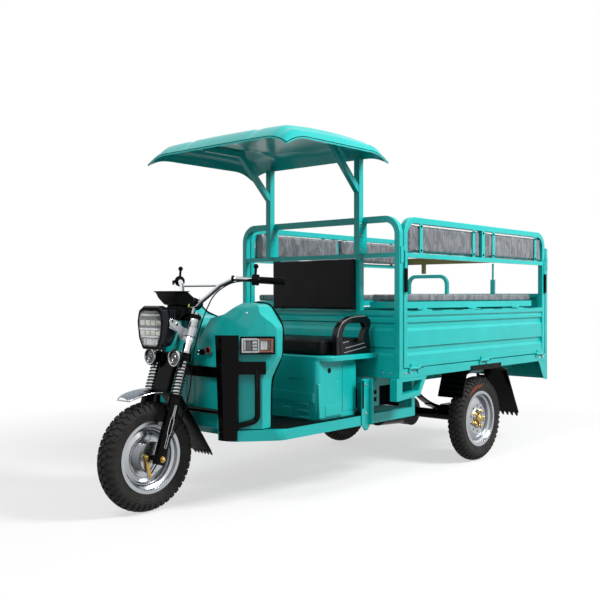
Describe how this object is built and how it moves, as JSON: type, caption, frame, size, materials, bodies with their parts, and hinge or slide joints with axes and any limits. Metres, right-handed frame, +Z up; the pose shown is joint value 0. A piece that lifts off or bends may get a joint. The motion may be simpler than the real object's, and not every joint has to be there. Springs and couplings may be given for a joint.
{
  "type": "electric cargo tricycle",
  "caption": "Open electric cargo tricycle with a roofed rider's seat, and a box with drop sides, folding benches and a tailgate.",
  "frame": {"origin": "on the ground, in the middle of the whole vehicle's length and width", "axes": "+X to the vehicle's left side, -Y the way it drives, +Z up"},
  "size_m": [1.19, 3.13, 1.7999],
  "materials": {
    "teal_paint": "gloss paint",
    "black_plastic": "grained",
    "black_paint": "semi-gloss",
    "black_vinyl": "fine grain",
    "grey_cover": "film-wrapped cover",
    "khaki_paint": "satin",
    "clear_lens": "moulded lens",
    "red_lens": "moulded lens",
    "chrome": "polished",
    "silver_metal": "satin",
    "tyre": "treaded",
    "black_rubber": "matte"
  },
  "bodies": {
    "chassis": {"frame": "teal_paint", "floor_frame": "teal_paint", "rails": "teal_paint", "hanging_brackets": "teal_paint", "floor_board": "black_plastic", "front_cowl": "teal_paint", "turn_signals": "clear_lens", "guard": "black_paint", "seat_box": "teal_paint", "seat_deck": "teal_paint", "driver_seat": "black_vinyl", "backrest_pad": "black_vinyl", "armrests": "black_plastic", "cargo_bed": "teal_paint", "front_hoop": "teal_paint", "rear_posts": "teal_paint", "rear_crossbar": "khaki_paint", "tail_panel": "teal_paint", "tail_lamps": "red_lens", "rear_axle": "black_paint", "leaf_springs": "black_paint", "rear_fenders": "black_paint", "side_steps": "teal_paint", "gate_hinges": "teal_paint", "tailgate_hinges": "teal_paint", "roof_posts": "teal_paint", "roof": "teal_paint"},
    "steering": {"fork": "black_paint", "fork_springs": "chrome", "brake_plate": "silver_metal", "handlebar": "chrome", "bar_controls": "black_plastic", "headlight": "black_paint", "headlight_lens": "clear_lens", "lamp_ears": "silver_metal", "fog_lamps": "black_paint", "brake_cable": "black_rubber", "dash": "black_plastic", "front_fender": "chrome", "mud_flap": "black_plastic"},
    "front_wheel": {"front_tyre": "tyre", "front_rim": "silver_metal"},
    "rear_left_wheel": {"rear_left_tyre": "tyre", "rear_left_rim": "silver_metal"},
    "rear_right_wheel": {"rear_right_tyre": "tyre", "rear_right_rim": "silver_metal"},
    "left_gate": {"left_gate": "teal_paint", "left_latch_grips": "black_rubber", "left_backrests": "grey_cover"},
    "right_gate": {"right_gate": "teal_paint", "right_latch_grips": "black_rubber", "right_backrests": "grey_cover"},
    "left_bench": {"left_bench": "teal_paint", "left_bench_pad": "grey_cover"},
    "right_bench": {"right_bench": "teal_paint", "right_bench_pad": "grey_cover"},
    "left_legs": {"left_bench_legs": "teal_paint"},
    "right_legs": {"right_bench_legs": "teal_paint"},
    "tailgate": {"tailgate": "teal_paint"}
  },
  "joints": [
    {"name": "steer", "type": "hinge", "parent": "chassis", "child": "steering", "pos_m": [0, -1.28181, 0.23889], "axis": [0, 0.3173, 0.9483], "range_deg": [-35, 35]},
    {"name": "front_wheel_spin", "type": "hinge", "parent": "steering", "child": "front_wheel", "pos_m": [0, -1.315, 0.25], "axis": [1, 0, 0], "continuous": true},
    {"name": "rear_left_wheel_spin", "type": "hinge", "parent": "chassis", "child": "rear_left_wheel", "pos_m": [0.512, 0.715, 0.25], "axis": [1, 0, 0], "continuous": true},
    {"name": "rear_right_wheel_spin", "type": "hinge", "parent": "chassis", "child": "rear_right_wheel", "pos_m": [-0.512, 0.715, 0.25], "axis": [1, 0, 0], "continuous": true},
    {"name": "left_gate_drop", "type": "hinge", "parent": "chassis", "child": "left_gate", "pos_m": [0.588, 0, 0.601], "axis": [0, 1, 0], "range_deg": [0, 130]},
    {"name": "right_gate_drop", "type": "hinge", "parent": "chassis", "child": "right_gate", "pos_m": [-0.588, 0, 0.601], "axis": [0, -1, 0], "range_deg": [0, 130]},
    {"name": "left_bench_fold", "type": "hinge", "parent": "left_gate", "child": "left_bench", "pos_m": [0.541, 0, 0.909], "axis": [0, 1, 0], "range_deg": [0, 85]},
    {"name": "right_bench_fold", "type": "hinge", "parent": "right_gate", "child": "right_bench", "pos_m": [-0.541, 0, 0.909], "axis": [0, -1, 0], "range_deg": [0, 85]},
    {"name": "left_legs_fold", "type": "hinge", "parent": "left_bench", "child": "left_legs", "pos_m": [0.349, 0, 0.901], "axis": [0, 1, 0], "range_deg": [-85, 0]},
    {"name": "right_legs_fold", "type": "hinge", "parent": "right_bench", "child": "right_legs", "pos_m": [-0.349, 0, 0.901], "axis": [0, -1, 0], "range_deg": [-85, 0]},
    {"name": "tailgate_drop", "type": "hinge", "parent": "chassis", "child": "tailgate", "pos_m": [0, 1.547, 0.601], "axis": [-1, 0, 0], "range_deg": [0, 160]}
  ],
  "couplings": [
    {"joint": "left_legs_fold", "follows": "left_bench_fold", "ratio": -1},
    {"joint": "right_legs_fold", "follows": "right_bench_fold", "ratio": -1}
  ]
}
